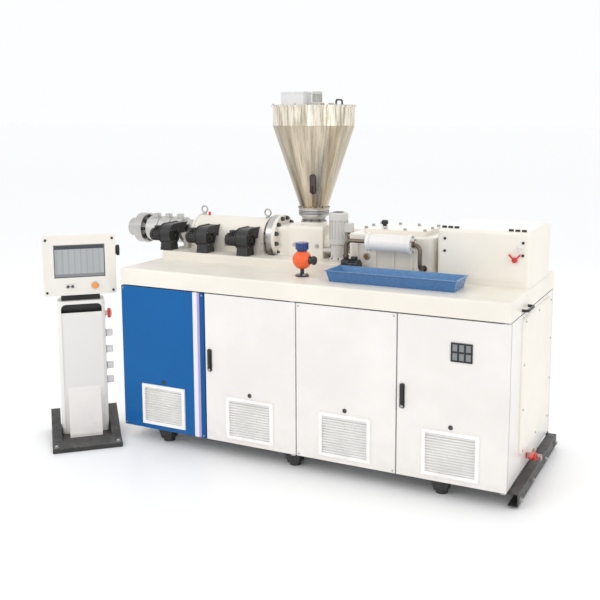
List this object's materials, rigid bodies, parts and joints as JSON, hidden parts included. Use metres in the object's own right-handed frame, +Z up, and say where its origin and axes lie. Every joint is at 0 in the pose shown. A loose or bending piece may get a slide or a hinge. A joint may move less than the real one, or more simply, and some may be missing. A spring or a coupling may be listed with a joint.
{
  "type": "conical twin screw plastic extruder",
  "caption": "Floor-standing conical twin-screw extruder: panelled cabinet with opening doors, heated barrel, stainless hopper, gearbox and motor hood, and a separate operator console.",
  "frame": {"origin": "on the floor under the middle of the whole object's box, console included", "axes": "+X from the die end to the motor end, +Y from the door side to the rear, +Z up"},
  "size_m": [3.3542, 1.621, 2.384],
  "materials": {
    "black_paint": "satin paint",
    "black_plastic": "matt",
    "blue_paint": "semi-gloss powder coat",
    "blue_plastic": "gloss",
    "cast_aluminium": "as cast",
    "cream_paint": "semi-gloss powder coat",
    "dark_glass": "dark sight glass",
    "galvanised": "matt galvanised",
    "grey_paint": "satin powder coat",
    "machined_steel": "machined",
    "orange_plastic": "gloss",
    "pipe_steel": "dark oiled steel",
    "red_paint": "gloss paint",
    "screen_glass": "display behind glass",
    "stainless": "brushed stainless",
    "white_paint": "semi-gloss powder coat",
    "white_plastic": "satin"
  },
  "bodies": {
    "machine": {"barrel": "machined_steel", "barrel_bench": "cream_paint", "barrel_cover": "cream_paint", "base_frame": "black_paint", "blower_1": "black_paint", "blower_2": "black_paint", "blower_3": "black_paint", "blue_panel": "blue_paint", "blue_tray": "blue_paint", "centre_panel": "white_paint", "console_base": "black_paint", "console_box": "white_paint", "console_column": "grey_paint", "console_controls": "orange_plastic", "console_foot_cover": "white_paint", "console_screen": "screen_glass", "die_adapter": "machined_steel", "door_pivots": "galvanised", "drain_valve": "red_paint", "end_beam": "black_paint", "end_cover": "cream_paint", "end_grip": "black_plastic", "end_walls": "white_paint", "feed_throat": "cream_paint", "feeder_collar": "stainless", "feeder_drive": "white_paint", "fixed_grilles": "white_plastic", "fixed_lid": "stainless", "floor_and_partitions": "galvanised", "frame_posts": "grey_paint", "gearbox": "cream_paint", "heater_bands": "cast_aluminium", "hood_catches": "black_plastic", "hood_lever": "red_paint", "hopper": "stainless", "levelling_feet": "black_paint", "lid_box": "white_plastic", "lifting_eyes": "machined_steel", "motor_hood": "cream_paint", "oil_cooler": "white_paint", "oil_pipes": "pipe_steel", "oil_pump": "black_paint", "rear_panels": "white_paint", "sight_glass": "dark_glass", "stirrer_motor": "grey_paint", "top_cover": "cream_paint", "top_frame": "grey_paint", "valve_cap": "blue_plastic", "vent_valve": "orange_plastic"},
    "left_door": {"left_door": "white_paint", "left_door_grille": "white_plastic", "left_door_handle": "black_plastic"},
    "right_door": {"right_door": "white_paint", "right_door_grille": "white_plastic", "right_door_handle": "black_plastic", "indicator_plate": "black_plastic"},
    "lid_flap": {"lid_flap": "stainless", "lid_handle": "black_plastic"}
  },
  "joints": [
    {"name": "left_door_hinge", "type": "hinge", "parent": "machine", "child": "left_door", "pos_m": [0.22806, -0.34351, 0.1], "axis": [0, 0, 1], "range_deg": [0, 110]},
    {"name": "right_door_hinge", "type": "hinge", "parent": "machine", "child": "right_door", "pos_m": [1.57206, -0.34351, 0.1], "axis": [0, 0, 1], "range_deg": [0, 110]},
    {"name": "lid_flap_hinge", "type": "hinge", "parent": "machine", "child": "lid_flap", "pos_m": [0.10706, 0.36849, 2.3005], "axis": [0, -1, 0], "range_deg": [0, 90]}
  ]
}
